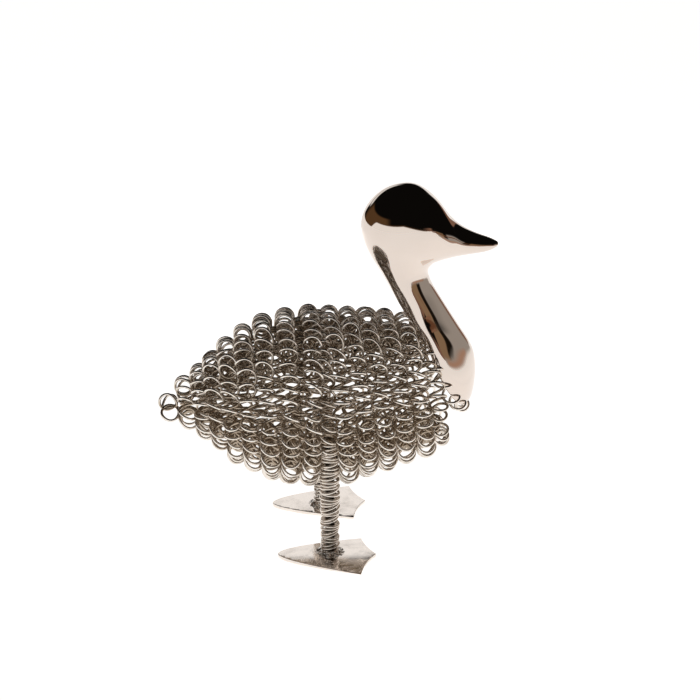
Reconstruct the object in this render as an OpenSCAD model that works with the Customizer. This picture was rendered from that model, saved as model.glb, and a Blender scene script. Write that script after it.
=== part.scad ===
// Wire duckling ornament: a body of coiled wire hoops, a hollow polished head and neck laced to the
// foremost hoop, and two wire-wound legs on flat webbed feet. Millimetres, +X to the beak, +Z up,
// Z = 0 on the surface that the feet stand on, X = 0 at the legs.

/* [Wire] */
// Diameter of the spring wire in every coil
wire_d = 0.9; // [0.8:0.05:1.1]
// Outer diameter of the coils that make the body hoops
coil_od = 8.2; // [7.6:0.1:9]
// Outer diameter of the coils at the breast and along the neck's rim
lace_od = 7; // [6.4:0.1:7.8]
// Spacing of the loops along a body hoop
loop_pitch = 9.6; // [9.4:0.1:12]
// Clearance between coils that are brazed to each other
coil_gap = 0.05; // [0.05:0.05:0.3]

/* [Body] */
// Number of hoops from the legs to the tail
rump_hoops = 9; // [8:1:10]
// Number of hoops from the legs to the breast
breast_hoops = 5; // [4:1:6]
// Radius of the two hoops at the legs, to the middle of their coils
body_r = 35.5; // [32:0.5:39]
// Radius of the tail hoop
tail_r = 4.7; // [4.5:0.1:6]
// Radius of the foremost full hoop
breast_r = 28.5; // [26:0.5:31]
// Height of the middle of the body at the legs
body_z = 66; // [60:0.5:72]
// How far the middle of the body drops towards the tail
tail_drop = 2.5; // [0:0.5:5]
// How far the middle of the body rises towards the breast
breast_rise = 3.5; // [0:0.5:6]
// Lean of the rump hoop at the legs, foot forward
rump_lean = -1.5; // [-4:0.5:1]
// Lean of the tail hoop
tail_lean = 9.5; // [5:0.5:14]
// Added lean of the foremost full hoop
breast_lean = 3; // [0:0.5:6]

/* [Head and neck] */
// Radius of the neck's open rim
rim_r = 20.4; // [19:0.2:22]
// Lean of the neck's rim, foot forward
rim_lean = 27; // [22:0.5:32]
// Wall of the hollow head and neck
shell_wall = 1.6; // [1.2:0.1:2.2]
// Width of the neck where it is thinnest
neck_w = 21; // [18:0.5:24]
// Width of the head
head_w = 35; // [30:0.5:40]
// Width of the beak halfway along
beak_w = 12; // [9:0.5:15]
// Diameter of the lacing holes in the rim
lace_hole_d = 2.3; // [1.8:0.1:2.4]

/* [Legs and feet] */
// Distance between the middles of the legs
leg_spacing = 50; // [44:0.5:56]
// Diameter of the rod inside each leg
leg_rod_d = 4; // [3:0.1:4.4]
// Outer diameter of the wire wound round each leg
winding_od = 8; // [7.6:0.1:8.6]
// Spacing of the loops wound round each leg
winding_pitch = 1.9; // [1.9:0.05:3]
// Height of the tops of the legs, inside the body
leg_top = 50; // [46:0.5:54]
// Diameter of the bar across the tops of the legs
bar_d = 4; // [3:0.1:5]
// Radius of the brazed fillet at the foot of each leg
braze_r = 2.4; // [1.5:0.1:3]
// Length of a foot, heel to middle toe
foot_len = 43; // [38:0.5:48]
// Width of a foot across its side toes
foot_w = 34.5; // [30:0.5:39]
// Thickness of the foot plates
foot_t = 1.5; // [1:0.1:2.5]
// Distance from the heel to the middle of the leg
heel_len = 23; // [19:0.5:26]
// How far the middle toe stands in front of the side toes
middle_toe = 6.5; // [4:0.5:9]
// Depth of the web's scallops between the toes
scallop = 1.8; // [0.5:0.1:3]
// Right foot turned out by this angle
right_toe_out = 5; // [-5:0.5:15]
// Left foot turned out by this angle
left_toe_out = -1; // [-5:0.5:15]
// Right foot set outwards from its leg
right_foot_shift = 2; // [-4:0.5:5]
// Left foot set outwards from its leg
left_foot_shift = 2; // [-4:0.5:5]

/* [Hidden] */
$fn = 48;

full_hoops = rump_hoops + breast_hoops;
function hoop_name(i) = str("body_coil_", i < 10 ? "0" : "", i);

// Rings round one loop of wire, and sides of the wire
loop_rings = 5;
wire_sides = 3;
// The sided wire has the round wire's section area, so its corners reach out further than the radius
wire_reach = wire_d / 2 * sqrt(2 * PI / (wire_sides * sin(360 / wire_sides)));
coil_r = coil_od / 2 - wire_reach;
lace_r = lace_od / 2 - wire_reach;
winding_r = winding_od / 2 - wire_reach;
hoop_step = coil_od + coil_gap;

// Powers that shape the tail's taper and the change of lean along the rump
taper_power = 1.4;
lean_power = 0.8;

function unit(v) = v / norm(v);
function mix(a, b, t) = a + (b - a) * t;

// A hoop is [x, z, radius, lean]: the middle of its circle, and its lean with the foot forward.
// The two hoops at the legs touch at the top and stand apart at the legs by the winding between them.
leg_slot = winding_od + coil_od + 2 * coil_gap;
leg_depth = sqrt(pow(body_r, 2) - pow(leg_spacing / 2, 2));
front_lean = asin(sin(rump_lean) + (leg_slot - hoop_step) / (body_r + leg_depth));

function rump_part(j) = j / (rump_hoops - 1);
function rump_hoop_r(j) = tail_r + (body_r - tail_r) * pow(cos(90 * rump_part(j)), taper_power);
function rump_hoop_lean(j) = mix(rump_lean, tail_lean, pow(rump_part(j), lean_power));
function rump_hoop(j, x) = [x, body_z - tail_drop * rump_part(j), rump_hoop_r(j), rump_hoop_lean(j)];

function breast_part(j) = j / (breast_hoops - 1);
function breast_hoop(j, x) = [
    x,
    body_z + breast_rise * breast_part(j),
    mix(body_r, breast_r, breast_part(j)),
    front_lean + breast_lean * breast_part(j)
];

// Points of a hoop's circle in the side view: side is 1 at the top and -1 at the bottom
function hoop_x(h, side) = h[0] - side * h[2] * sin(h[3]);
function hoop_z(h, side) = h[1] + side * h[2] * cos(h[3]);
function hoop_end(h, side) = [hoop_x(h, side), hoop_z(h, side)];

// Step along X that brings hoop b, placed at X = 0, up to hoop a so that they just touch
function side_step(a, b, side, way) =
    let (rise = hoop_z(b, side) - hoop_z(a, side))
    sqrt(max(pow(hoop_step, 2) - pow(rise, 2), 0)) - way * (hoop_x(b, side) - (hoop_x(a, side) - a[0]));
function touch_step(a, b, way) = max(side_step(a, b, 1, way), side_step(a, b, -1, way));

function rump_row(j = 0, done = []) =
    j == rump_hoops ? done :
    let (
        last = done[j - 1],
        x = j == 0 ? -leg_slot / 2 - leg_depth * sin(rump_lean)
            : last[0] - touch_step(last, rump_hoop(j, 0), -1)
    )
    rump_row(j + 1, concat(done, [rump_hoop(j, x)]));
function breast_row(j = 0, done = []) =
    j == breast_hoops ? done :
    let (
        last = done[j - 1],
        x = j == 0 ? leg_slot / 2 - leg_depth * sin(front_lean)
            : last[0] + touch_step(last, breast_hoop(j, 0), 1)
    )
    breast_row(j + 1, concat(done, [breast_hoop(j, x)]));

rump = rump_row();
breast = breast_row();
// All the full hoops, from the tail to the breast
hoops = concat([for (j = [rump_hoops - 1:-1:0]) rump[j]], breast);
front_hoop = breast[breast_hoops - 1];

// The neck's rim: its highest point lies one coil in front of the foremost hoop's top, a little lower
rim_drop = 1.5;
rim_top_x = hoop_x(front_hoop, 1) + (coil_od + lace_od) / 2 + coil_gap;
rim_top_z = hoop_z(front_hoop, 1) - rim_drop;
rim = [rim_top_x + rim_r * sin(rim_lean), rim_top_z - rim_r * cos(rim_lean), rim_r, rim_lean];

// Directions in a hoop's plane: outwards at an angle from the top, and along the hoop's axis
function hoop_out(h, a) = [-sin(h[3]) * cos(a), sin(a), cos(h[3]) * cos(a)];
function hoop_axis(h) = [cos(h[3]), 0, sin(h[3])];
function hoop_point(h, a) = [h[0], 0, h[1]] + h[2] * hoop_out(h, a);

// Neighbouring hoops touch at the top or at the bottom, where their ends are closer
function touch_side(a, b) =
    norm(hoop_end(a, 1) - hoop_end(b, 1)) < norm(hoop_end(a, -1) - hoop_end(b, -1)) ? 1 : -1;
// Angle, outwards from the axis of hoop h, of the line from hoop a to hoop b where they touch
function link_slope(h, a, b) =
    let (side = touch_side(a, b), link = hoop_end(b, side) - hoop_end(a, side))
    atan2(side * link * [-sin(h[3]), cos(h[3])], link * [cos(h[3]), sin(h[3])]);
row = concat(hoops, [rim]);
function breast_slope(i) = link_slope(row[i], row[i], row[i + 1]);
function tail_slope(i) = i == 0 ? breast_slope(0) : link_slope(row[i], row[i - 1], row[i]);

// The coils are left-handed. Their loops bend at angles counted from the side that faces the tail,
// and two of the bends face the neighbouring hoops, so that those touch.
function hoop_loops(h) = round(2 * PI * h[2] / loop_pitch);
function loop_turns(tail_bend, breast_bend) = [
    tail_bend,
    mix(tail_bend, breast_bend, 1 / 3),
    mix(tail_bend, breast_bend, 2 / 3),
    breast_bend,
    mix(breast_bend, 360 + tail_bend, 1 / 2)
];
function hoop_turns(i) = loop_turns(tail_slope(i), 180 + breast_slope(i));
function loop_out(h, a, turn) = -sin(turn) * hoop_out(h, a) - cos(turn) * hoop_axis(h);

// Angle round hoop i at which it touches the next one, found from the lacing back to the tail
function nearest(first, step, aim) = first + step * round((aim - first) / step);
function touch_angle(i) =
    i == full_hoops - 1 ? 180 / lace_rings :
    let (
        next = row[i + 1],
        loops = hoop_loops(next),
        half_loop = (180 + tail_slope(i + 1) - breast_slope(i + 1)) / loops
    )
    nearest(touch_angle(i + 1) + half_loop, 360 / loops, 90 - 90 * touch_side(row[i], next));

// A wire's path is a list of [point, outward direction]
function hoop_path(i) =
    let (
        h = row[i],
        loops = hoop_loops(h),
        turns = hoop_turns(i),
        first = touch_angle(i) - (180 + breast_slope(i)) / loops
    )
    [for (k = [0:loops - 1]) for (turn = turns)
        let (a = first + (360 * k + turn) / loops, out = loop_out(h, a, turn))
        [hoop_point(h, a) + coil_r * out, out]];

// The breast coil lies against the front of the foremost hoop, round the underside only
breast_span = 130;
breast_seat = (coil_od + lace_od) / 2 + coil_gap;
front_slope = breast_slope(full_hoops - 1);
breast_ring = [
    front_hoop[0] + breast_seat * cos(front_slope) * cos(front_hoop[3]),
    front_hoop[1] + breast_seat * cos(front_slope) * sin(front_hoop[3]),
    front_hoop[2] + breast_seat * sin(front_slope),
    front_hoop[3]
];
function breast_coil_path() =
    let (
        half_loops = round(PI * breast_ring[2] * breast_span / 360 / loop_pitch),
        middle = nearest(touch_angle(full_hoops - 1), 360 / hoop_loops(front_hoop), 180),
        turns = loop_turns(0, 180),
        n = half_loops * loop_rings,
        curls = [for (k = [-n:n])
            let (
                loop = floor(k / loop_rings),
                turn = 360 * loop + turns[k - loop * loop_rings],
                a = middle + turn / 360 * breast_span / 2 / half_loops,
                out = loop_out(breast_ring, a, turn + front_slope)
            )
            [hoop_point(breast_ring, a) + lace_r * out, out]],
        first = curls[0],
        last = curls[2 * n],
        lead = wire_d * unit(first[0] - curls[1][0]),
        tail = wire_d * unit(last[0] - curls[2 * n - 1][0])
    )
    concat([[first[0] + lead, first[1]]], curls, [[last[0] + tail, last[1]]]);

// The head and neck: side-view pairs [back x, back z, front x, front z, half width] from the rim's
// middle, which stands at the first pair, up the neck, over the head and out to the beak
neck_lift = [rim[0], rim[1]];
head_pairs = [
    [-rim_r * sin(rim_lean), rim_r * cos(rim_lean), rim_r * sin(rim_lean), -rim_r * cos(rim_lean), rim_r],
    [-13.2, 22.4, 12.6, -14.8, rim_r + 0.4],
    [-16, 25, 14.1, -8, rim_r - 0.6],
    [-18.4, 27.5, 14.5, -0.5, rim_r - 2.6],
    [-20.6, 31, 13, 8.5, rim_r - 5.2],
    [-23.1, 35.5, 7.2, 18, neck_w / 2 + 2.4],
    [-25.8, 40.6, -0.6, 30.5, neck_w / 2 + 0.7],
    [-28.6, 45.6, -6, 40, neck_w / 2],
    [-32.2, 51.4, -6.7, 45, neck_w / 2 + 1.1],
    [-35.4, 59.5, -4.6, 47.8, head_w / 2 - 3.2],
    [-35.8, 67.5, -2.6, 48.7, head_w / 2 - 0.9],
    [-32, 75.3, -0.4, 49.3, head_w / 2],
    [-24, 81.2, 1.8, 49.7, head_w / 2 - 0.2],
    [-13, 82.4, 4, 50.1, head_w / 2 - 1.7],
    [-4, 76.2, 6.6, 50.4, beak_w / 2 + 6.3],
    [2, 68.3, 9.6, 50.8, beak_w / 2 + 3.4],
    [7, 63.7, 13, 51.2, beak_w / 2 + 1.2],
    [13.5, 60.2, 17, 51.7, beak_w / 2 - 0.8],
    [19.8, 57.8, 20.2, 52.6, beak_w / 2 - 2.4],
    [23, 56, 22.8, 54, beak_w / 2 - 4.5]
];
head_tip = [neck_lift.x + 23.2, 0, neck_lift.y + 55];
head_sides = 28;
steps_per_pair = 2;
// The hollow reaches from the rim to this pair, at the root of the beak
hollow_pairs = 14;

// Smooth curve through the pairs, and its ring of points, set in from the outer face
function head_pair(u) =
    let (
        n = len(head_pairs) - 1,
        i = min(floor(u), n - 1),
        t = u - i,
        a = head_pairs[max(i - 1, 0)],
        b = head_pairs[i],
        c = head_pairs[i + 1],
        d = head_pairs[min(i + 2, n)]
    )
    b + t / 2 * (c - a + t * (2 * a - 5 * b + 4 * c - d + t * (3 * b - a - 3 * c + d)));
function head_point(u, turn, inset) =
    let (
        pair = head_pair(u),
        back = [pair[0], 0, pair[1]],
        front = [pair[2], 0, pair[3]],
        half = norm(back - front) / 2 - inset,
        middle = (back + front) / 2 + [neck_lift.x, 0, neck_lift.y]
    )
    middle + half * cos(turn) * unit(back - front) + [0, (pair[4] - inset) * sin(turn), 0];
function head_rings(pairs, inset) = [
    for (s = [0:pairs * steps_per_pair]) for (k = [0:head_sides - 1])
        head_point(s / steps_per_pair, 360 * k / head_sides, inset)
];

// Where the lacing runs: along the middle of the wall at the rim, with loops through the wall.
// The way up the wall is square to the rim, so it leads to a point further round the next ring.
function wall_mid(u, turn) = (head_point(u, turn, 0) + head_point(u, turn, shell_wall)) / 2;
function lace_mid(turn) = wall_mid(0, turn);
function lace_along(turn) = unit(lace_mid(turn + 1) - lace_mid(turn - 1));
function lace_wall(turn) =
    let (
        along = lace_along(turn),
        degree = norm(wall_mid(1, turn + 1) - wall_mid(1, turn)),
        slide = (lace_mid(turn) - wall_mid(1, turn)) * along / degree,
        up = wall_mid(1, turn + slide) - lace_mid(turn)
    )
    unit(up - (up * along) * along);
lace_loops = round(2 * PI * rim_r / loop_pitch);
lace_rings = lace_loops * loop_rings;
function lace_ring(k) =
    let (
        a = 360 * (k + 0.5) / lace_rings,
        turn = -360 * (k + 0.5) / loop_rings,
        out = cos(turn) * lace_wall(a) + sin(turn) * cross(lace_along(a), lace_wall(a))
    )
    [lace_mid(a) + lace_r * out, out];
function lacing_path() = [for (k = [0:lace_rings - 1]) lace_ring(k)];

// The winding climbs its leg in even loops up to the cross bar, and its ends run straight
winding_end = wire_d + wire_reach;
function winding_path() =
    let (
        low = foot_t + winding_end,
        high = leg_top - bar_d - coil_gap - winding_end,
        n = floor((high - low) / winding_pitch) * loop_rings,
        loops = [for (k = [0:n])
            let (out = [cos(360 * k / loop_rings), -sin(360 * k / loop_rings), 0])
            [winding_r * out + [0, 0, mix(low, high, k / n)], out]]
    )
    concat(
        [[loops[0][0] - [0, 0, winding_end], loops[0][1]]],
        loops,
        [[loops[n][0] + [0, 0, winding_end], loops[n][1]]]
    );

// Least gap between a wire's loops, measured between its points a loop or more apart
function least_gap(path, closed) =
    let (n = len(path))
    min([for (i = [0:n - 1]) for (j = [i + loop_rings - 1:n - 1])
        if (!closed || n - j + i >= loop_rings - 1) norm(path[i][0] - path[j][0])]) - 2 * wire_reach;

// One unbroken wire along a path
module wire(path, closed) {
    n = len(path);
    echo(str("least gap of the wire to itself ", least_gap(path, closed)));
    function at(i) = path[closed ? (i + n) % n : max(0, min(n - 1, i))][0];
    points = [for (i = [0:n - 1])
        let (
            along = unit(at(i + 1) - at(i - 1)),
            u = unit(path[i][1] - (path[i][1] * along) * along),
            v = cross(along, u)
        )
        for (k = [0:wire_sides - 1])
            path[i][0] + wire_reach * (cos(360 * k / wire_sides) * u + sin(360 * k / wire_sides) * v)];
    function id(i, k) = (i % n) * wire_sides + k % wire_sides;
    skin = [for (i = [0:closed ? n - 1 : n - 2]) for (k = [0:wire_sides - 1])
        each [
            [id(i, k), id(i + 1, k), id(i + 1, k + 1)],
            [id(i, k), id(i + 1, k + 1), id(i, k + 1)]
        ]];
    ends = closed ? [] : [
        [for (k = [0:wire_sides - 1]) id(0, k)],
        [for (k = [wire_sides - 1:-1:0]) id(n - 1, k)]
    ];
    polyhedron(points, concat(skin, ends));
}

module body_coil(i) {
    color("silver") wire(hoop_path(i - 1), true);
}

module breast_coil() {
    color("silver") wire(breast_coil_path(), false);
}

module lacing_coil() {
    color("silver") wire(lacing_path(), true);
}

module head_shell() {
    outer_pairs = len(head_pairs) - 1;
    outer = head_rings(outer_pairs, 0);
    inner = head_rings(hollow_pairs, shell_wall);
    tip = len(outer);
    first_inner = tip + 1;
    inner_tip = first_inner + len(inner);
    end_ring = [for (k = [0:head_sides - 1]) inner[hollow_pairs * steps_per_pair * head_sides + k]];
    end_middle = [for (k = end_ring) 1 / head_sides] * end_ring;
    function id(first, s, k) = first + s * head_sides + k % head_sides;
    outer_skin = [for (s = [0:outer_pairs * steps_per_pair - 1]) for (k = [0:head_sides - 1])
        each [
            [id(0, s, k), id(0, s, k + 1), id(0, s + 1, k + 1)],
            [id(0, s, k), id(0, s + 1, k + 1), id(0, s + 1, k)]
        ]];
    inner_skin = [for (s = [0:hollow_pairs * steps_per_pair - 1]) for (k = [0:head_sides - 1])
        each [
            [id(first_inner, s, k), id(first_inner, s + 1, k + 1), id(first_inner, s, k + 1)],
            [id(first_inner, s, k), id(first_inner, s + 1, k), id(first_inner, s + 1, k + 1)]
        ]];
    closing = [for (k = [0:head_sides - 1])
        each [
            [id(0, outer_pairs * steps_per_pair, k), id(0, outer_pairs * steps_per_pair, k + 1), tip],
            [id(first_inner, hollow_pairs * steps_per_pair, k + 1),
                id(first_inner, hollow_pairs * steps_per_pair, k), inner_tip],
            [id(0, 0, k), id(first_inner, 0, k), id(first_inner, 0, k + 1)],
            [id(0, 0, k), id(first_inner, 0, k + 1), id(0, 0, k + 1)]
        ]];
    polyhedron(concat(outer, [head_tip], inner, [end_middle]), concat(outer_skin, inner_skin, closing));
}

// Each lacing hole runs along the straight stretch of the loop that goes through it
module head_and_neck() {
    hole_len = 4 * shell_wall;
    color("gainsboro")
    difference() {
        head_shell();
        for (k = [0:lace_loops - 1]) {
            from = lace_ring(k * loop_rings - 1)[0];
            to = lace_ring(k * loop_rings)[0];
            through = unit(to - from);
            translate((from + to) / 2)
            rotate([0, acos(through.z), atan2(through.y, through.x)])
            cylinder(d = lace_hole_d, h = hole_len, center = true);
        }
    }
}

module leg_rod(side) {
    color("darkgray")
    translate([0, side * leg_spacing / 2, foot_t])
    cylinder(d = leg_rod_d, h = leg_top - foot_t);
}

// The bar's ends are coped to the round of the rods that they are brazed to
module leg_cross_bar() {
    color("darkgray")
    difference() {
        translate([0, 0, leg_top - bar_d / 2])
        rotate([90, 0, 0])
        cylinder(d = bar_d, h = leg_spacing, center = true);
        for (side = [-1, 1])
            translate([0, side * leg_spacing / 2, 0])
            cylinder(d = leg_rod_d, h = leg_top + bar_d);
    }
}

module leg_winding(side) {
    color("silver") translate([0, side * leg_spacing / 2, 0]) wire(winding_path(), false);
}

module braze(side) {
    color("silver")
    translate([0, side * leg_spacing / 2, foot_t])
    rotate_extrude()
    translate([winding_od / 2 + coil_gap, 0])
    intersection() {
        circle(r = braze_r);
        square(braze_r);
    }
}

// Half width of a foot grows from the heel to the side toes by this power of the distance
foot_flare = 0.45;
edge_steps = 8;
web_steps = 6;
side_toe_x = foot_len - heel_len - middle_toe;
function foot_edge(t) = [mix(-heel_len, side_toe_x, t), foot_w / 2 * pow(t, foot_flare)];
function web_edge(t) =
    let (a = [side_toe_x, foot_w / 2], b = [foot_len - heel_len, 0])
    mix(a, b, t) - scallop * sin(180 * t) * unit([a.y, b.x - a.x]);
function foot_half() = concat(
    [for (k = [0:edge_steps]) foot_edge(pow(k / edge_steps, 2))],
    [for (k = [1:web_steps]) web_edge(k / web_steps)]
);
module foot(side, toe_out, shift) {
    half = foot_half();
    outline = concat(half, [for (k = [len(half) - 2:-1:1]) [half[k].x, -half[k].y]]);
    color("gainsboro")
    translate([0, side * (leg_spacing / 2 + shift), 0])
    rotate([0, 0, side * toe_out])
    linear_extrude(foot_t)
    polygon(outline);
}

for (i = [1:full_hoops]) {
    body_coil(i);
}
breast_coil();
lacing_coil();
head_and_neck();
leg_cross_bar();
leg_rod(-1);  // right_leg_rod
leg_rod(1);  // left_leg_rod
leg_winding(-1);  // right_leg_winding
leg_winding(1);  // left_leg_winding
braze(-1);  // right_braze
braze(1);  // left_braze
foot(-1, right_toe_out, right_foot_shift);  // right_foot
foot(1, left_toe_out, left_foot_shift);  // left_foot
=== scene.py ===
import math
import random

import bmesh
import bpy
from mathutils import Matrix, Vector, noise


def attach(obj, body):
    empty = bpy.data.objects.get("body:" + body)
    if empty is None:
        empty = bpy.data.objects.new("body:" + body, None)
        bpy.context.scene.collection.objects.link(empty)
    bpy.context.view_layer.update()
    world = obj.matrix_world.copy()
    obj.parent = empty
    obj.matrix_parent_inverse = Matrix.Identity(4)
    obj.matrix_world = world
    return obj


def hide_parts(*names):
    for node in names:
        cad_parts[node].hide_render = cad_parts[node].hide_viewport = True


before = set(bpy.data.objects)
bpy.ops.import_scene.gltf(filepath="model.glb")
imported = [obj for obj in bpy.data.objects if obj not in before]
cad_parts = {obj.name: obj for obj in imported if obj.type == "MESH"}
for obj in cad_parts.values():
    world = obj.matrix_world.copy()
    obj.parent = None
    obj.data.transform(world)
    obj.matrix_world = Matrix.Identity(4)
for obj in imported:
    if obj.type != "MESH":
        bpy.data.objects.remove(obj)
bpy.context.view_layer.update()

mm = 0.001
fullTurn = 2 * math.pi
legSpacing = 50.0  # between the middles of the legs


# small helpers

def newPiece(name, mesh, material, nodes):
    piece = bpy.data.objects.new(name, mesh)
    bpy.context.scene.collection.objects.link(piece)
    mesh.materials.clear()
    mesh.materials.append(material)
    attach(piece, "root")
    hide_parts(*nodes)
    return piece


def addSmoothing(piece):
    smooth = piece.modifiers.new("smooth", "SUBSURF")
    smooth.levels = smooth.render_levels = 1


def meshFrom(bm, name, smooth=True):
    bmesh.ops.recalc_face_normals(bm, faces=bm.faces)
    for face in bm.faces:
        face.smooth = smooth
    mesh = bpy.data.meshes.new(name)
    bm.to_mesh(mesh)
    bm.free()
    return mesh


def wireMesh(name, points, across, closed):
    # a round wire along the points, swept by a curve and kept as a mesh
    curve = bpy.data.curves.new(name, "CURVE")
    curve.dimensions = "3D"
    curve.bevel_depth = across / 2 * mm
    curve.bevel_resolution = 2
    curve.use_fill_caps = not closed
    spline = curve.splines.new("POLY")
    spline.points.add(len(points) - 1)
    for dot, place in zip(spline.points, points):
        dot.co = (*place, 1.0)
    spline.use_cyclic_u = closed
    holder = bpy.data.objects.new(name + "Path", curve)
    mesh = bpy.data.meshes.new_from_object(holder)
    bpy.data.objects.remove(holder)
    bpy.data.curves.remove(curve)
    mesh.name = name
    mesh.shade_smooth()
    return mesh


def mixed(a, b, t):
    return a + (b - a) * t


def smoothStep(value, low, high):
    t = min(max((value - low) / (high - low), 0.0), 1.0)
    return t * t * (3 - 2 * t)


def wander(rng, count, amount):
    # a smooth closed run of hand-made unevenness, one value to a loop
    values = [rng.uniform(-amount, amount) for _ in range(count)]

    def at(turn):
        k = math.floor(turn)
        t = smoothStep(turn - k, 0, 1)
        return values[k % count] * (1 - t) + values[(k + 1) % count] * t
    return at


# shader wiring: a socket that does sums

class Feed:
    def __init__(self, tree, socket=None):
        self.tree = tree
        self.socket = socket

    def node(self, kind, settings=None, inputs=None, out=0):
        made = self.tree.nodes.new(kind)
        for key, value in (settings or {}).items():
            if key == "stops":
                for stop, (place, tone) in zip(made.color_ramp.elements, value):
                    stop.position = place
                    stop.color = (tone, tone, tone, 1.0)
            else:
                setattr(made, key, value)
        for key, value in (inputs or {}).items():
            if isinstance(value, Feed):
                self.tree.links.new(value.socket, made.inputs[key])
            else:
                made.inputs[key].default_value = value
        return Feed(self.tree, made.outputs[out]) if len(made.outputs) else made

    def sum(self, operation, a, b):
        return self.node("ShaderNodeMath", {"operation": operation}, {0: a, 1: b})

    def __add__(self, other):
        return self.sum("ADD", self, other)

    def __radd__(self, other):
        return self.sum("ADD", other, self)

    def __sub__(self, other):
        return self.sum("SUBTRACT", self, other)

    def __rsub__(self, other):
        return self.sum("SUBTRACT", other, self)

    def __mul__(self, other):
        return self.sum("MULTIPLY", self, other)

    def __rmul__(self, other):
        return self.sum("MULTIPLY", other, self)

    def __truediv__(self, other):
        return self.sum("DIVIDE", self, other)

    def between(self, low, high):
        # black up to low, white from high
        return self.node("ShaderNodeValToRGB", {"stops": ((low, 0.0), (high, 1.0))}, {"Fac": self})

    def fade(self, start, end):
        # smoothly from 0 at start to 1 at end
        return self.node("ShaderNodeMapRange", {"interpolation_type": "SMOOTHSTEP"}, {
            "Value": self, "From Min": start, "From Max": end})

    def mix(self, a, b):
        # sockets 6 and 7 are the colours, output 2 the mixed one
        return self.node("ShaderNodeMix", {"data_type": "RGBA"}, {"Factor": self, 6: a, 7: b}, 2)

    def noise(self, scale, detail=3.0, rough=0.55):
        return self.node("ShaderNodeTexNoise", None, {
            "Vector": self, "Scale": scale, "Detail": detail, "Roughness": rough})

    def bump(self, strength, distance):
        return self.node("ShaderNodeBump", None, {"Strength": strength, "Distance": distance, "Height": self})

    def parts(self):
        return [self.node("ShaderNodeSeparateXYZ", None, {0: self}, k) for k in range(3)]


def newMaterial(name):
    material = bpy.data.materials.new(name)
    material.use_nodes = True
    material.node_tree.nodes.clear()
    feed = Feed(material.node_tree)
    place = feed.node("ShaderNodeTexCoord", out=3)  # object coordinates
    return material, feed, place


def closeMetal(feed, colour, roughness, bump):
    shader = feed.node("ShaderNodeBsdfPrincipled", None, {
        "Base Color": colour, "Roughness": roughness, "Metallic": 1.0, "Normal": bump})
    feed.node("ShaderNodeOutputMaterial", None, {"Surface": shader})


# nickel wire of the coils and the legs, tarnished in patches, with painted shade darkening the strands that
# lie deep inside a hoop

# the darkest wire tone is painted shade, laid on strands that lie inside a hoop
wireFinish = {
    "bright": (0.93, 0.875, 0.81, 1), "dull": (0.72, 0.65, 0.57, 1), "insideShadeTone": (0.48, 0.40, 0.315, 1),
    "roughBright": 0.09, "roughDull": 0.24, "roughGrain": 0.06,
    "patch": 210.0, "tarnish": (0.38, 0.68), "insideShade": (0.2, 0.7),
    "grain": 2600.0, "grainBump": (0.12, 0.00006),
}
windingFinish = {**wireFinish, "bright": (0.80, 0.735, 0.67, 1), "patch": 260.0}


def nickelWire(name, finish):
    material, feed, place = newMaterial(name)
    tarnish = place.noise(finish["patch"], detail=4.0, rough=0.6).between(*finish["tarnish"])
    grain = place.noise(finish["grain"], detail=2.0)
    depth = feed.node("ShaderNodeAttribute", {"attribute_name": "depth"}, None, 2)
    insideShade = depth.between(*finish["insideShade"])  # painted shade, darker where the wire lies deep in the hoop
    colour = insideShade.mix(tarnish.mix(finish["bright"], finish["dull"]), finish["insideShadeTone"])
    dulling = finish["roughDull"] - finish["roughBright"]
    rough = finish["roughBright"] + tarnish * dulling + grain * finish["roughGrain"]
    closeMetal(feed, colour, rough, grain.bump(*finish["grainBump"]))
    return material


# mirror polish of the head and neck, a little smudged and wavy

shellFinish = {
    "metal": (0.775, 0.69, 0.625, 1), "warm": (0.72, 0.63, 0.565, 1), "cloud": 55.0, "smudged": (0.5, 0.78),
    "roughness": 0.035, "roughSmudge": 0.07, "wave": 34.0, "waveBump": (0.35, 0.00045),
}


def mirrorShell(name, finish):
    material, feed, place = newMaterial(name)
    cloud = place.noise(finish["cloud"], detail=4.0, rough=0.6)
    smudges = cloud.between(*finish["smudged"])
    colour = cloud.mix(finish["metal"], finish["warm"])
    rough = finish["roughness"] + smudges * finish["roughSmudge"]
    waves = place.noise(finish["wave"], detail=1.0, rough=0.4)
    closeMetal(feed, colour, rough, waves.bump(*finish["waveBump"]))
    return material


# polished foot plates, worn dull in places

plateFinish = {
    "metal": (0.84, 0.775, 0.72, 1), "dull": (0.72, 0.655, 0.60, 1), "cloud": 140.0, "worn": (0.45, 0.75),
    "roughness": 0.10, "roughWear": 0.16, "wave": 60.0, "waveBump": (0.3, 0.0006),
}


def polishedPlate(name, finish):
    material, feed, place = newMaterial(name)
    wear = place.noise(finish["cloud"], detail=5.0, rough=0.6).between(*finish["worn"])
    colour = wear.mix(finish["metal"], finish["dull"])
    rough = finish["roughness"] + wear * finish["roughWear"]
    waves = place.noise(finish["wave"], detail=2.0, rough=0.45)
    closeMetal(feed, colour, rough, waves.bump(*finish["waveBump"]))
    return material


# brazed joints, lumpy, with painted glints and painted shade speckled over them

brazeFinish = {
    # the bright and dark tones are painted glints and painted shade
    "bright": (1.0, 0.97, 0.93, 1), "dark": (0.13, 0.11, 0.09, 1), "speckle": 640.0, "glintSplit": (0.53, 0.6),
    "roughness": 0.22, "roughShadeSpeckle": 0.2, "grit": 1500.0, "gritShare": 0.35, "lumpBump": (0.9, 0.0005),
}


def brazedMetal(name, finish):
    material, feed, place = newMaterial(name)
    speckle = place.noise(finish["speckle"], detail=4.0, rough=0.6)
    glintShadeMask = speckle.between(*finish["glintSplit"])
    height = speckle + place.noise(finish["grit"]) * finish["gritShare"]
    # bright and dark speckles in the colour: painted highlights and painted shade
    colour = glintShadeMask.mix(finish["bright"], finish["dark"])
    rough = finish["roughness"] + glintShadeMask * finish["roughShadeSpeckle"]
    closeMetal(feed, colour, rough, height.bump(*finish["lumpBump"]))
    return material


# drawn steel of the rods inside the legs, darkened as painted shade from the winding around them, with
# patches of scale

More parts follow.
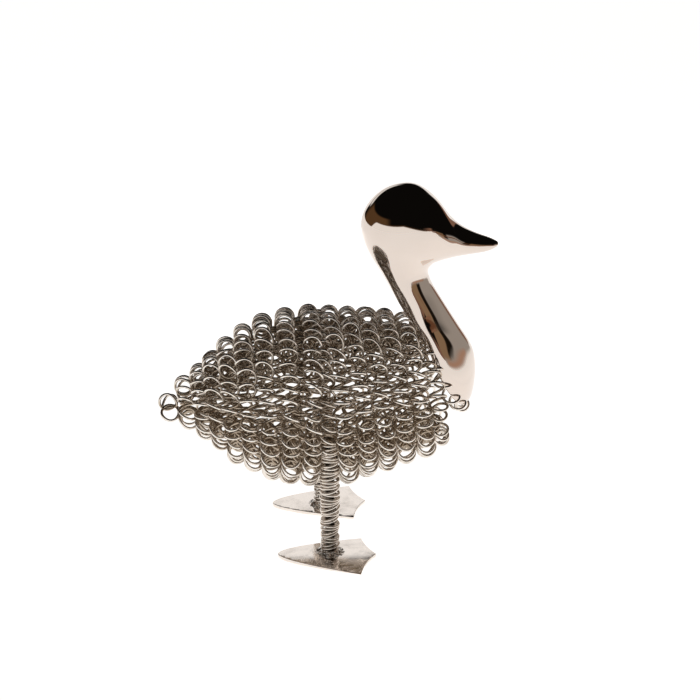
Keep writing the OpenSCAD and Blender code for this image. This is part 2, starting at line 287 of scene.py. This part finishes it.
rodFinish = {
    # the main steel tone is painted shade, far darker than bare steel
    "shadedSteel": (0.15, 0.125, 0.10, 1), "scale": (0.07, 0.055, 0.042, 1), "stain": 170.0, "stained": (0.42, 0.7),
    "lines": 2400.0, "lineStretch": (1.0, 1.0, 0.06), "lineBump": (0.2, 0.00005),
    "roughness": 0.24, "roughLines": 0.12, "roughStain": 0.15,
}


def drawnSteel(name, finish):
    material, feed, place = newMaterial(name)
    stretched = feed.node("ShaderNodeMapping", None, {"Vector": place, "Scale": finish["lineStretch"]})
    lines = stretched.noise(finish["lines"], detail=2.0)
    stain = place.noise(finish["stain"], detail=4.0).between(*finish["stained"])
    colour = stain.mix(finish["shadedSteel"], finish["scale"])
    rough = finish["roughness"] + lines * finish["roughLines"] + stain * finish["roughStain"]
    closeMetal(feed, colour, rough, lines.bump(*finish["lineBump"]))
    return material


coilMetal = nickelWire("springWire", wireFinish)
windingMetal = nickelWire("legWire", windingFinish)
shellMetal = mirrorShell("mirrorNickel", shellFinish)
plateMetal = polishedPlate("footPlate", plateFinish)
brazeMetal = brazedMetal("brazedJoint", brazeFinish)
rodMetal = drawnSteel("drawnSteel", rodFinish)
print("materials ready")


# camera at the photograph's place

cameraSettings = {
    "place": (-50.5, -771.3, 375.5), "turn": (69.5, 0.0, -4.54), "lens": 97.7, "sensor": 36.0,
    "nearest": 0.01, "farthest": 100.0,  # metres
}


def buildCamera(s):
    lens = bpy.data.cameras.new("viewCamera")
    lens.lens = s["lens"]
    lens.sensor_width = s["sensor"]
    lens.clip_start = s["nearest"]
    lens.clip_end = s["farthest"]
    camera = bpy.data.objects.new("viewCamera", lens)
    camera.location = Vector(s["place"]) * mm
    camera.rotation_euler = [math.radians(a) for a in s["turn"]]
    bpy.context.scene.collection.objects.link(camera)
    bpy.context.scene.camera = camera


buildCamera(cameraSettings)
print("camera placed")


# body hoops of coiled wire

hoopSettings = {
    # the solids' hoops, from the legs back to the tail and forward to the breast
    "rumpHoops": 9, "breastHoops": 5, "coilRoom": 8.2, "coilGap": 0.05, "windingRoom": 8.0,
    "bodyRadius": 35.5, "tailRadius": 4.7, "breastRadius": 28.5, "taper": 1.4,
    "bodyHeight": 66.0, "tailDrop": 2.5, "breastRise": 3.5,
    "rumpLean": -1.5, "tailLean": 9.5, "breastLean": 3.0, "leanPower": 0.8,
    "tailEnd": (-68.28, 61.80, 3.00, 9.50),  # the last hoop is pulled in and droops
    # the wire wound along them
    "coilAcross": 8.6, "wireAcross": 1.2, "pitch": 5.3, "tailPitch": 4.4, "tailReach": 15.0, "steps": 24,
    "fewestLoops": 3, "seed": 100, "lift": 0.24,
    "unevenPitch": 0.14, "unevenSize": 0.08, "unevenShift": 0.55, "unevenTilt": 0.22,
    # the inner round, which fades out on hoops of small radius
    "secondIn": 5.6, "secondAlong": 4.0, "secondFrom": 8.0, "secondOver": 12.0, "crossing": 0.5,
    # the rounds that close the gap at the legs, by hoop: they tuck in where the legs pass
    "legRounds": {
        9: {"second": -4.0, "in": 2.2, "tuck": 9.0, "turn": (108, 128), "along": 6.5, "sway": 2.35},
        10: {"second": 4.0, "in": 8.0, "tuck": 6.0, "turn": (105, 125), "along": -6.8, "sway": -2.35},
    },
    # the inner round of the foremost hoop, which reaches ahead beside the neck
    "frontRound": {"in": 6.5, "along": 3.0, "out": 3.9, "ahead": 4.1, "start": (35, 65), "end": (100, 125)},
}


def hoopEnd(row, side):
    # top or bottom of a hoop in the side view, for a side of 1 or -1
    lean = math.radians(row[3])
    return row[0] - side * row[2] * math.sin(lean), row[1] + side * row[2] * math.cos(lean)


def placeBeside(last, row, way, step):
    # the row's hoop moved up to the last one, until they touch at the top or at the bottom
    gaps = []
    for side in (1, -1):
        lastX, lastZ = hoopEnd(last, side)
        nextX, nextZ = hoopEnd(row, side)
        reach = math.sqrt(max(step ** 2 - (nextZ - lastZ) ** 2, 0.0))
        gaps.append(reach - way * (nextX - row[0] - (lastX - last[0])))
    return (last[0] + way * max(gaps), *row[1:])


def toHundredths(row):
    return tuple(math.floor(value * 100 + 0.5) / 100 for value in row)


def hoopRows(s):
    # x, z, radius to the middle of the coil and lean with the foot forward, from tail to breast
    step = s["coilRoom"] + s["coilGap"]
    slot = s["windingRoom"] + s["coilRoom"] + 2 * s["coilGap"]  # room for the legs between two hoops
    depth = math.sqrt(s["bodyRadius"] ** 2 - (legSpacing / 2) ** 2)
    rumpSlant = math.sin(math.radians(s["rumpLean"]))
    frontSlant = rumpSlant + (slot - step) / (s["bodyRadius"] + depth)
    frontLean = math.degrees(math.asin(frontSlant))
    rump = [(-slot / 2 - depth * rumpSlant, s["bodyHeight"], s["bodyRadius"], s["rumpLean"])]
    for k in range(1, s["rumpHoops"] - 1):
        t = k / (s["rumpHoops"] - 1)
        radius = mixed(s["tailRadius"], s["bodyRadius"], math.cos(math.pi / 2 * t) ** s["taper"])
        lean = mixed(s["rumpLean"], s["tailLean"], t ** s["leanPower"])
        row = (0, s["bodyHeight"] - s["tailDrop"] * t, radius, lean)
        rump.append(placeBeside(rump[-1], row, -1, step))
    breast = [(slot / 2 - depth * frontSlant, s["bodyHeight"], s["bodyRadius"], frontLean)]
    for k in range(1, s["breastHoops"]):
        t = k / (s["breastHoops"] - 1)
        radius = mixed(s["bodyRadius"], s["breastRadius"], t)
        lean = frontLean + s["breastLean"] * t
        row = (0, s["bodyHeight"] + s["breastRise"] * t, radius, lean)
        breast.append(placeBeside(breast[-1], row, 1, step))
    return [s["tailEnd"]] + [toHundredths(row) for row in rump[::-1] + breast]


def ringMiddle(row):
    return Vector((row[0], 0.0, row[1]))


def ringAxis(degrees):
    lean = math.radians(degrees)
    return Vector((math.cos(lean), 0.0, math.sin(lean)))


def ringOut(row, a):
    # outward direction of a leaning ring at angle a from its top
    lean = math.radians(row[3])
    return Vector((-math.sin(lean) * math.cos(a), math.sin(a), math.cos(lean) * math.cos(a)))


def roundsAt(a, s, n, inward):
    # each round of a hoop's coil at angle a from the top: how far in from the outer round, how far along
    fold = math.degrees(math.acos(math.cos(a)))
    if n in s["legRounds"]:
        leg = s["legRounds"][n]
        thirdIn = leg["in"] + leg["tuck"] * smoothStep(fold, *leg["turn"])
        thirdAlong = leg["along"] - leg["sway"] * math.cos(a)
        return [(0, 0), (s["secondIn"], leg["second"]), (thirdIn, thirdAlong)]
    if n == s["rumpHoops"] + s["breastHoops"]:
        front = s["frontRound"]
        ahead = smoothStep(fold, *front["start"]) - smoothStep(fold, *front["end"])
        return [(0, 0), (front["in"] - front["out"] * ahead, front["along"] + front["ahead"] * ahead)]
    if inward:
        return [(0, 0), (s["secondIn"] * inward, s["secondAlong"] * inward)]
    return [(0, 0)]


def layerAt(gone, a, s, n, inward):
    # place among the rounds, crossing smoothly from one to the next at the bottom
    rounds = roundsAt(a, s, n, inward)
    k = round(gone / fullTurn)
    share = smoothStep(gone - fullTurn * k, -s["crossing"] / 2, s["crossing"] / 2)
    before, after = rounds[(k - 1) % len(rounds)], rounds[k % len(rounds)]
    return [p * (1 - share) + q * share for p, q in zip(before, after)]


def coilPoints(row, loops, s, seed, start, span, closed, phase=0.0, inward=0.0, n=0):
    rng = random.Random(seed)
    pitchAt = wander(rng, loops, s["unevenPitch"])
    sizeAt = wander(rng, loops, s["unevenSize"])
    shiftAt = wander(rng, loops, s["unevenShift"])
    riseAt = wander(rng, loops, s["unevenShift"])
    tiltAt = wander(rng, loops, s["unevenTilt"])
    swayAt = wander(rng, loops, s["unevenTilt"])
    coilR = (s["coilAcross"] - s["wireAcross"]) / 2
    centre, axis = ringMiddle(row), ringAxis(row[3])
    points = []
    count = loops * s["steps"]
    for k in range(count if closed else count + 1):
        loop = k / s["steps"]
        turn = fullTurn * loop + phase
        a = start + span * loop / loops
        lag = pitchAt(loop) + tiltAt(loop) * math.sin(turn) + swayAt(loop) * math.cos(turn)
        a += span / loops * (lag + s["lift"] * math.sin(a) * math.cos(a) * 2 * math.sin(turn))
        out = ringOut(row, a)
        r = coilR * (1 + sizeAt(loop))
        layerIn, layerAlong = layerAt(a - start, a, s, n, inward)
        ringR = row[2] + riseAt(loop) - layerIn
        middle = centre + out * ringR + axis * (shiftAt(loop) + layerAlong)
        points.append((middle - out * (r * math.sin(turn)) - axis * (r * math.cos(turn))) * mm)
    return points


def markDepth(mesh, row, across):
    # how far each point of a hoop's wire lies in from the hoop's outer edge, 0 to 1, which the wire's
    # material turns into painted shade
    middle, axis = ringMiddle(row), ringAxis(row[3])
    outer = row[2] + across / 2
    depth = mesh.attributes.new("depth", "FLOAT", "POINT")
    for v, mark in zip(mesh.vertices, depth.data):
        arm = v.co / mm - middle
        arm -= axis * arm.dot(axis)
        mark.value = min(max((outer - arm.length) / across, 0.0), 1.0)


def buildHoops(s, rows):
    for n, row in enumerate(rows, 1):
        inward = min(1.0, max(0.0, (row[2] - s["secondFrom"]) / s["secondOver"]))
        span = fullTurn * len(roundsAt(0.0, s, n, inward))
        pitch = s["tailPitch"] if row[2] < s["tailReach"] else s["pitch"]
        loops = max(s["fewestLoops"], round(span * row[2] / pitch))
        phase = -fullTurn * loops * (math.pi / 2) / span  # a loop starts at each hoop's side
        points = coilPoints(row, loops, s, s["seed"] + n, math.pi, span, True, phase, inward, n)
        mesh = wireMesh(f"bodyHoop{n:02d}", points, s["wireAcross"], True)
        # the depth drives the painted shade on the inner strands
        markDepth(mesh, row, s["coilAcross"])
        newPiece(f"bodyHoop{n:02d}", mesh, coilMetal, [f"body_coil_{n:02d}"])


bodyRows = hoopRows(hoopSettings)
buildHoops(hoopSettings, bodyRows)
print("body hoops wound")


# coil at the low breast and the lacing along the neck's rim

rimSettings = {
    "radius": 20.4, "halfWidth": 17.2, "lean": 27.0, "drop": 1.5, "laceRoom": 7.0,
    "skirtBack": 3.0,  # how far the rim's sides reach back over the body
}
frontRow = bodyRows[-1]
laceSeat = (hoopSettings["coilRoom"] + rimSettings["laceRoom"]) / 2 + hoopSettings["coilGap"]


def rimMiddle(s):
    # the rim's top lies one coil in front of the foremost hoop's top, a little lower
    topX, topZ = hoopEnd(frontRow, 1)
    lean = math.radians(s["lean"])
    x = topX + laceSeat + s["radius"] * math.sin(lean)
    z = topZ - s["drop"] - s["radius"] * math.cos(lean)
    return toHundredths((x, z))


def breastRing(slope):
    # lies against the front of the foremost hoop, sloping in from it
    x, z, radius, lean = frontRow
    ahead = laceSeat * math.cos(math.radians(slope)) * ringAxis(lean)
    return toHundredths((x + ahead.x, z + ahead.z, radius - laceSeat * math.sin(math.radians(slope)), lean))


rimX, rimZ = rimMiddle(rimSettings)
breastSettings = {**hoopSettings, "slope": 20.2, "from": 106, "to": 244, "coilAcross": 7.2, "seed": 31}
lacingSettings = {
    **hoopSettings, "radius": 19.8, "halfWidth": 16.6, "coilAcross": 7.0, "loops": 16, "seed": 47,
}


def buildBreastCoil(s):
    ring = breastRing(s["slope"])
    span = math.radians(s["to"] - s["from"])
    loops = round(ring[2] * span / s["pitch"])
    points = coilPoints(ring, loops, s, s["seed"], math.radians(s["from"]), span, False)
    mesh = wireMesh("breastCoil", points, s["wireAcross"], False)
    newPiece("breastCoil", mesh, coilMetal, ["breast_coil"])


def buildLacing(s):
    rng = random.Random(s["seed"])
    sizeAt = wander(rng, s["loops"], s["unevenSize"])
    slipAt = wander(rng, s["loops"], s["unevenPitch"])
    coilR = (s["coilAcross"] - s["wireAcross"]) / 2
    ring = (rimX, rimZ, s["radius"], rimSettings["lean"])
    axis = ringAxis(rimSettings["lean"])
    points = []
    for k in range(s["loops"] * s["steps"]):
        loop = k / s["steps"]
        turn = fullTurn * loop
        a = fullTurn * (loop + slipAt(loop)) / s["loops"]
        out = ringOut(ring, a)
        back = rimSettings["skirtBack"] * math.sin(a) ** 2
        middle = ringMiddle(ring) + out * s["radius"] - axis * back
        middle.y = math.sin(a) * s["halfWidth"]
        r = coilR * (1 + sizeAt(loop))
        points.append((middle - out * (r * math.sin(turn)) - axis * (r * math.cos(turn))) * mm)
    mesh = wireMesh("lacingCoil", points, s["wireAcross"], True)
    newPiece("lacingCoil", mesh, coilMetal, ["lacing_coil"])


buildBreastCoil(breastSettings)
buildLacing(lacingSettings)
print("breast and lacing wound")


# hollow polished head and neck

def rimPair(s):
    # the rim as the first pair of the head's sections
    lean = math.radians(s["lean"])
    x, z = s["radius"] * math.sin(lean), s["radius"] * math.cos(lean)
    return toHundredths((-x, z, x, -z, s["halfWidth"]))


headSettings = {
    "wall": 1.6, "segments": 48, "perPair": 3, "hollowPairs": 13,
    "skirtPairs": 3,  # how many pairs up the rim's reach over the body has faded out
    "egg": -0.25, "eggStart": (1, 4), "eggEnd": (6, 9),  # the neck's sections are broader at the back
    # back x, back z, front x, front z and half width, from the rim's middle
    "pairs": [
        rimPair(rimSettings), (-13.2, 22.4, 12.6, -14.8, 16.9), (-16, 25, 14.1, -8, 16.2),
        (-18.4, 27.5, 14.5, -0.5, 15.1), (-20.6, 31, 13, 8.5, 13.8), (-23.1, 35.5, 7.2, 18, 12.8),
        (-25.8, 40.6, -0.6, 30.5, 12.3), (-28.6, 45.6, -6, 40, 12.3), (-32.2, 51.4, -6.7, 45, 13.2),
        (-35.4, 59.5, -4.6, 47.8, 15.0), (-35.8, 67.5, -2.6, 48.7, 16.7), (-32, 75.3, -0.4, 49.3, 17.5),
        (-24, 81.2, 1.8, 49.7, 17.3), (-13, 82.4, 4, 50.1, 15.8), (-4, 76.2, 6.6, 50.4, 12.3),
        (2, 68.3, 9.6, 50.8, 9.4), (7, 63.7, 13, 51.2, 7.2), (13.5, 60.2, 17, 51.7, 5.2),
        (19.8, 57.8, 20.2, 52.6, 3.6), (23, 56, 22.8, 54, 1.5),
    ],
    "tip": (23.2, 55.0),
}


def pairAt(pairs, u):
    # smooth curve through the section pairs
    i = min(int(u), len(pairs) - 2)
    t = u - i
    a, b, c, d = (pairs[min(max(k, 0), len(pairs) - 1)] for k in (i - 1, i, i + 1, i + 2))
    return [q + t / 2 * (r - p + t * (2 * p - 5 * q + 4 * r - s + t * (3 * q - p - 3 * r + s)))
            for p, q, r, s in zip(a, b, c, d)]


def sectionLoop(bm, s, u, inset):
    backX, backZ, frontX, frontZ, width = pairAt(s["pairs"], u)
    back, front = Vector((backX, 0, backZ)), Vector((frontX, 0, frontZ))
    across = back - front
    half = across.length / 2 - inset
    across.normalize()
    side = Vector((0, width - inset, 0))
    middle = (back + front) / 2 + Vector((rimX, 0, rimZ))
    normal = across.cross(Vector((0, 1, 0)))
    place = Matrix((across * half, side, normal)).transposed().to_4x4()
    place.translation = middle
    made = bmesh.ops.create_circle(bm, segments=s["segments"], radius=1.0, matrix=Matrix.Scale(mm, 4) @ place)
    verts = set(made["verts"])
    reach = rimSettings["skirtBack"] * max(0.0, 1 - u / s["skirtPairs"]) ** 2
    axis = ringAxis(rimSettings["lean"])
    egg = s["egg"] * smoothStep(u, *s["eggStart"]) * (1 - smoothStep(u, *s["eggEnd"]))
    for v in verts:
        v.co -= axis * (reach * (v.co.y / mm / width) ** 2 * mm)
        v.co.y *= 1 - egg * (v.co / mm - middle).dot(across) / half
    return [e for e in bm.edges if e.verts[0] in verts and e.verts[1] in verts]


def buildHead(s):
    bm = bmesh.new()
    outerCount = (len(s["pairs"]) - 1) * s["perPair"] + 1
    innerCount = s["hollowPairs"] * s["perPair"] + 1
    outer = [sectionLoop(bm, s, k / s["perPair"], 0.0) for k in range(outerCount)]
    inner = [sectionLoop(bm, s, k / s["perPair"], s["wall"]) for k in range(innerCount)]
    loops = inner[::-1] + outer
    for one, two in zip(loops, loops[1:]):
        bmesh.ops.bridge_loops(bm, edges=one + two)
    bmesh.ops.contextual_create(bm, geom=inner[-1])
    beakEnd = bmesh.ops.extrude_edge_only(bm, edges=outer[-1])["geom"]
    endVerts = [g for g in beakEnd if isinstance(g, bmesh.types.BMVert)]
    tip = Vector((rimX + s["tip"][0], 0, rimZ + s["tip"][1])) * mm
    bmesh.ops.pointmerge(bm, verts=endVerts, merge_co=tip)
    mesh = meshFrom(bm, "headAndNeck")
    addSmoothing(newPiece("headAndNeck", mesh, shellMetal, ["head_and_neck"]))


buildHead(headSettings)
print("head and neck raised")


# wire wound round the legs, in close pairs of turns

legSettings = {
    "low": 2.0, "high": 54.0, "acrossLow": 8.3, "acrossHigh": 9.0, "wireAcross": 1.2,
    "pitch": 1.58, "bunch": 2, "close": 1.3, "steps": 28,
    "lean": 0.07, "tip": 0.34, "uneven": 0.3, "shove": 0.5, "endShare": 0.04,
}


def buildWinding(s, side, name, node, seed):
    rng = random.Random(seed)
    loops = round((s["high"] - s["low"]) / s["pitch"])
    sizeAt = wander(rng, loops + 1, s["uneven"])
    slipAt = wander(rng, loops + 1, s["uneven"])
    shoveAt = wander(rng, loops + 1, s["uneven"])
    tipAt = wander(rng, loops + 1, s["tip"])
    wide = s["pitch"] * s["bunch"] - s["close"] * (s["bunch"] - 1)  # the open turn between two bunches
    points = []
    for k in range(loops * s["steps"] + 1):
        loop = k / s["steps"]
        turn = fullTurn * loop
        share = loop / loops
        r = (mixed(s["acrossLow"], s["acrossHigh"], share) - s["wireAcross"]) / 2 + sizeAt(loop)
        group, within = divmod(loop, s["bunch"])
        rise = s["close"] * min(within, s["bunch"] - 1) + wide * max(within - s["bunch"] + 1, 0)
        ends = smoothStep(share, 0.0, s["endShare"]) * (1 - smoothStep(share, 1 - s["endShare"], 1.0))
        x = r * math.cos(turn) + shoveAt(loop) * s["shove"]
        z = s["low"] + group * s["bunch"] * s["pitch"] + rise
        z += (slipAt(loop) + x * (s["lean"] + tipAt(loop))) * ends
        points.append(Vector((x, side * legSpacing / 2 + r * math.sin(turn), z)) * mm)
    mesh = wireMesh(name, points, s["wireAcross"], False)
    newPiece(name, mesh, windingMetal, [node])


# lumpy brazed collars at the foot of the legs

brazeSettings = {
    "radius": 6.6, "height": 2.2, "base": 1.4, "core": 3.2, "rim": 0.12, "hollow": 1.4,
    "rings": 14, "around": 96, "weld": 1e-6,
    "lump": 0.75, "scale": 1150.0, "sideLump": 0.5, "swell": 4.0, "plain": 0.05,  # no lumps on the underside
}


def buildBraze(s, side, name, node, seed):
    bm = bmesh.new()
    middle = Vector((0, side * legSpacing / 2, 0))
    profile = [(s["core"], 0.0), (s["radius"], 0.0)]
    for k in range(1, s["rings"] + 1):
        t = k / s["rings"]
        profile.append((mixed(s["radius"], s["core"], t), mixed(s["rim"], 1.0, t ** s["hollow"])))
    verts = [bm.verts.new((middle + Vector((x, 0, s["base"] + z * s["height"]))) * mm) for x, z in profile]
    edges = [bm.edges.new(pair) for pair in zip(verts, verts[1:] + verts[:1])]
    bmesh.ops.spin(bm, geom=verts + edges, cent=middle * mm, axis=(0, 0, 1), angle=fullTurn,
                   steps=s["around"], use_merge=True)
    bmesh.ops.remove_doubles(bm, verts=bm.verts, dist=s["weld"])
    for v in bm.verts:
        rise = (v.co.z / mm - s["base"]) / s["height"]
        if rise > s["plain"]:
            out = Vector((v.co.x, v.co.y - middle.y * mm, 0)).normalized()
            bulge = noise.noise(v.co * s["scale"] + Vector((seed, 0, 0))) * min(1.0, rise * s["swell"])
            v.co += (out * s["sideLump"] * bulge + Vector((0, 0, bulge))) * s["lump"] * mm
    mesh = meshFrom(bm, name)
    addSmoothing(newPiece(name, mesh, brazeMetal, [node]))


# webbed foot plates

footSettings = {
    "length": 43.0, "width": 34.5, "thick": 1.75, "shift": 2.0,
    "heel": 23.0, "flare": 0.56, "sideSteps": 12, "middleToe": 6.5, "scallop": 1.1, "webSteps": 8,
    "edge": 0.22, "edgeSteps": 3, "edgeAngle": 68.75, "sharpAngle": 24,
    "cut": 2.2, "cuts": 11, "cutNear": 1e-7,  # cuts that let the top be crowned
}


def footOutline(s):
    sideX = s["length"] - s["heel"] - s["middleToe"]
    half = []
    for k in range(s["sideSteps"] + 1):
        t = (k / s["sideSteps"]) ** 2
        half.append(Vector((-s["heel"] + (sideX + s["heel"]) * t, s["width"] / 2 * t ** s["flare"])))
    toe, front = Vector((sideX, s["width"] / 2)), Vector((s["length"] - s["heel"], 0))
    inward = Vector((toe.y, front.x - toe.x)).normalized()
    for k in range(1, s["webSteps"] + 1):
        t = k / s["webSteps"]
        half.append(toe.lerp(front, t) - inward * s["scallop"] * math.sin(math.pi * t))
    return half + [Vector((p.x, -p.y)) for p in half[-2:0:-1]]


def buildFoot(s, side, toeOut, crown, name, node):
    bm = bmesh.new()
    turn = Matrix.Rotation(math.radians(side * toeOut), 3, "Z")
    shift = Vector((0, side * (legSpacing / 2 + s["shift"]), 0))
    rim = [bm.verts.new((turn @ Vector((p.x, p.y, 0)) + shift) * mm) for p in footOutline(s)]
    sole = bm.faces.new(rim)
    top = bmesh.ops.extrude_face_region(bm, geom=[sole], use_keep_orig=True)["geom"]
    bmesh.ops.translate(bm, verts=[g for g in top if isinstance(g, bmesh.types.BMVert)],
                        vec=(0, 0, s["thick"] * mm))
    bmesh.ops.recalc_face_normals(bm, faces=bm.faces)
    edgeAngle = math.radians(s["edgeAngle"])
    borders = [e for e in bm.edges if len(e.link_faces) == 2 and abs(e.calc_face_angle()) > edgeAngle]
    bmesh.ops.bevel(bm, geom=borders, offset=s["edge"] * mm, offset_type="OFFSET", affect="EDGES",
                    segments=s["edgeSteps"], profile=0.5, material=-1, clamp_overlap=True)
    bmesh.ops.triangulate(bm, faces=[f for f in bm.faces if len(f.verts) > 4])
    for k in range(-s["cuts"], s["cuts"] + 1):
        for normal in ((1, 0, 0), (0, 1, 0)):
            spot = (shift + Vector(normal) * (k * s["cut"])) * mm
            bmesh.ops.bisect_plane(bm, geom=bm.verts[:] + bm.edges[:] + bm.faces[:], dist=s["cutNear"],
                                   plane_co=spot, plane_no=normal)
    for v in bm.verts:
        if v.co.z > s["thick"] * mm / 2:
            across = (v.co.y / mm - shift.y) / (s["width"] / 2)
            v.co.z -= crown * mm * across * across  # the top falls away to the sides
    mesh = meshFrom(bm, name)
    mesh.set_sharp_from_angle(angle=math.radians(s["sharpAngle"]))
    newPiece(name, mesh, plateMetal, [node])


legPair = {
    "right": {"side": -1, "toeOut": 5.0, "crown": 1.1, "seed": 11},
    "left": {"side": 1, "toeOut": -1.0, "crown": 0.4, "seed": 12},
}
for word, leg in legPair.items():
    buildWinding(legSettings, leg["side"], word + "LegWinding", word + "_leg_winding", leg["seed"])
    buildBraze(brazeSettings, leg["side"], word + "Braze", word + "_braze", leg["seed"])
    buildFoot(footSettings, leg["side"], leg["toeOut"], leg["crown"], word + "Foot", word + "_foot")
for node in ("leg_cross_bar", "right_leg_rod", "left_leg_rod"):
    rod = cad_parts[node]
    rod.data.materials.clear()
    rod.data.materials.append(rodMetal)
print("legs and feet set")


# pale floor, a studio that is white low down and dark overhead, and plain cards seen only in the metal,
# all in metres

studioSettings = {
    "floorAcross": 8.0, "floorSides": 64, "floorDrop": 0.00005,
    "floorTone": (1, 0.99, 0.98, 1), "floorGlow": 1.0, "mottle": 6.0, "mottleTone": 0.97,
    "white": (1.0, 0.985, 0.97, 1), "dark": (0.004, 0.0035, 0.003, 1),
    "brown": (0.10, 0.052, 0.022, 1), "haze": (0.22, 0.12, 0.08, 1),
    # height at which white turns to dark in front, higher to the left, and lowest behind
    "rise": 0.10, "riseLeft": 0.40, "riseLow": -0.05, "riseHigh": 0.20, "soft": 0.03,
    # where each part of the studio starts and where it is in full, as components of a direction
    "ahead": (0.2, -0.2), "leftward": (-0.6, -0.8), "rightward": (0.25, 0.5),
    "wedge": (0.47, 0.40), "brim": (0.06, 0.01), "hazeTop": (0.12, 0.09),
    # two corners of each card, its glow and the most of it that fades at each edge
    "feather": 0.04,  # the widest that a card's edge fades
    "cards": {
        "whiteCard": ((-0.20, 0.36, 0.0), (0.265, 0.36, 0.25), (0.98, 0.965, 0.95, 1), 0.25),
        "greyCard": ((0.272, -0.28, 0.052), (0.272, 0.19, 0.182), (0.36, 0.33, 0.30, 1), 0.25),
        "copperCard": ((0.270, -0.32, 0.08), (0.270, -0.08, 0.192), (0.26, 0.17, 0.10, 1), 0.25),
        "copperLow": ((0.269, -0.22, 0.056), (0.269, 0.05, 0.102), (0.42, 0.26, 0.185, 1), 0.5),
        "darkCard": ((0.268, -0.125, 0.09), (0.268, -0.05, 0.19), (0.01, 0.007, 0.004, 1), 0.25),
        "beakGlow": ((0.14, -0.20, 0.1285), (0.14, -0.055, 0.1345), (0.24, 0.125, 0.075, 1), 0.25),
        "beakEdge": ((0.14, -0.20, 0.1325), (0.14, 0.06, 0.138), (0.14, 0.06, 0.03, 1), 0.25),
        "beakShade": ((0.14, -0.20, 0.138), (0.14, 0.06, 0.172), (0.004, 0.0035, 0.003, 1), 0.25),
        "rimCard": ((-0.16, 0.20, 0.20), (0.05, 0.20, 0.25), (0.85, 0.83, 0.81, 1), 0.25),
    },
}


def glowShader(feed, base, glow, strength):
    return feed.node("ShaderNodeBsdfPrincipled", None, {
        "Base Color": base, "Roughness": 0.9, "Specular IOR Level": 0.0,
        "Emission Color": glow, "Emission Strength": strength})


def floorMaterial(name, s):
    material, feed, place = newMaterial(name)
    shade = tuple(c * s["mottleTone"] for c in s["floorTone"][:3]) + (1,)
    tint = place.noise(s["mottle"]).mix(s["floorTone"], shade)
    shader = glowShader(feed, tint, s["floorTone"], s["floorGlow"])
    feed.node("ShaderNodeOutputMaterial", None, {"Surface": shader})
    return material


def cardMaterial(name, low, high, glow, share, feather):
    # glows in one plain tone and fades out along its edges
    material, feed, place = newMaterial(name)
    solid = 1.0
    for along, start, end in zip(place.parts(), low, high):
        soft = min(feather, (end - start) * share)
        if soft > 0:
            solid = solid * along.fade(start, start + soft) * along.fade(end, end - soft)
    shader = glowShader(feed, (0, 0, 0, 1), glow, 1.0)
    clear = feed.node("ShaderNodeBsdfTransparent")
    mixture = feed.node("ShaderNodeMixShader", None, {0: solid, 1: clear, 2: shader})
    feed.node("ShaderNodeOutputMaterial", None, {"Surface": mixture})
    return material


def buildCard(name, low, high, glow, share, feather):
    low, high = Vector(low), Vector(high)
    bm = bmesh.new()
    corners = [low, Vector((high.x, high.y, low.z)), high, Vector((low.x, low.y, high.z))]
    bm.faces.new([bm.verts.new(c) for c in corners])
    card = bpy.data.objects.new(name, meshFrom(bm, name, smooth=False))
    bpy.context.scene.collection.objects.link(card)
    card.data.materials.append(cardMaterial(name, low, high, glow, share, feather))
    card.visible_camera = False


def buildFloor(s):
    bm = bmesh.new()
    bmesh.ops.create_circle(bm, cap_ends=True, segments=s["floorSides"], radius=s["floorAcross"] / 2,
                            matrix=Matrix.Translation((0, 0, -s["floorDrop"])))
    floor = bpy.data.objects.new("floor", meshFrom(bm, "floor", smooth=False))
    bpy.context.scene.collection.objects.link(floor)
    floor.data.materials.append(floorMaterial("paleFloor", s))


def buildSky(s):
    world = bpy.data.worlds.new("studio")
    world.use_nodes = True
    world.node_tree.nodes.clear()
    sky = Feed(world.node_tree)
    x, y, z = sky.node("ShaderNodeTexCoord").parts()  # the direction looked in
    tilt = sky.node("ShaderNodeClamp", None, {
        "Value": s["rise"] - x * s["riseLeft"], "Min": s["riseLow"], "Max": s["riseHigh"]})
    rise = y.fade(*s["ahead"]) * (tilt - s["riseLow"]) + s["riseLow"]
    above = ((z - rise) / s["soft"] + 0.5).between(0.0, 1.0)
    roof = (x.fade(*s["leftward"]) * z.fade(*s["wedge"])).mix(s["dark"], s["brown"])
    brim = (z - rise).fade(*s["brim"]).mix(roof, s["brown"])
    hazy = (x.fade(*s["rightward"]) * z.fade(*s["hazeTop"])).mix(brim, s["haze"])
    back = sky.node("ShaderNodeBackground", None, {"Color": above.mix(s["white"], hazy), "Strength": 1.0})
    sky.node("ShaderNodeOutputWorld", None, {"Surface": back})
    bpy.context.scene.world = world
    bpy.context.scene.view_settings.view_transform = "Standard"


buildFloor(studioSettings)
for name, (low, high, glow, share) in studioSettings["cards"].items():
    buildCard(name, low, high, glow, share, studioSettings["feather"])
buildSky(studioSettings)
print("studio lit")
